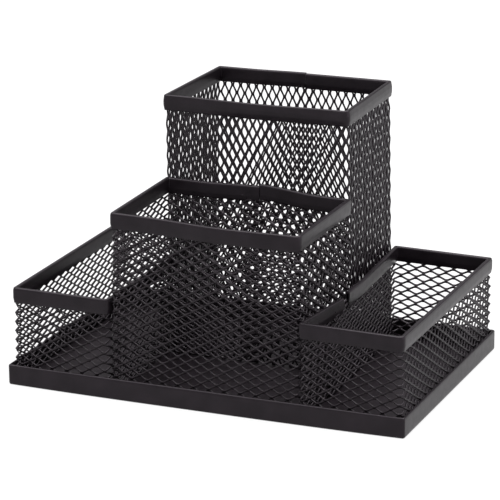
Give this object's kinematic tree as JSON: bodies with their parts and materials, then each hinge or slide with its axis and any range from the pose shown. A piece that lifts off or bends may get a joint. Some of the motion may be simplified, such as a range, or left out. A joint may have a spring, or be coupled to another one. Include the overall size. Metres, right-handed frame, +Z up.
{
  "type": "desk organizer",
  "caption": "Black steel mesh desk organizer: low side trays, a middle cup and a tall back cup with folded rims, standing on a shallow pressed pan.",
  "frame": {"origin": "middle of the pan's underside, on the surface that it stands on", "axes": "+Z up, +X to the right along the long side, -Y towards the front where the middle cup is"},
  "size_m": [0.153, 0.102, 0.1],
  "materials": {
    "pan_coat": "satin black powder coat on pressed steel",
    "rim_coat": "satin black powder coat on folded steel strip",
    "mesh_coat": "satin black powder coat on expanded steel mesh"
  },
  "bodies": {
    "root": {"base_pan": "pan_coat", "left_tray_mesh": "mesh_coat", "left_tray_rim": "rim_coat", "middle_cup_mesh": "mesh_coat", "middle_cup_rim": "rim_coat", "right_tray_mesh": "mesh_coat", "right_tray_rim": "rim_coat", "tall_cup_mesh": "mesh_coat", "tall_cup_rim": "rim_coat"}
  },
  "joints": []
}
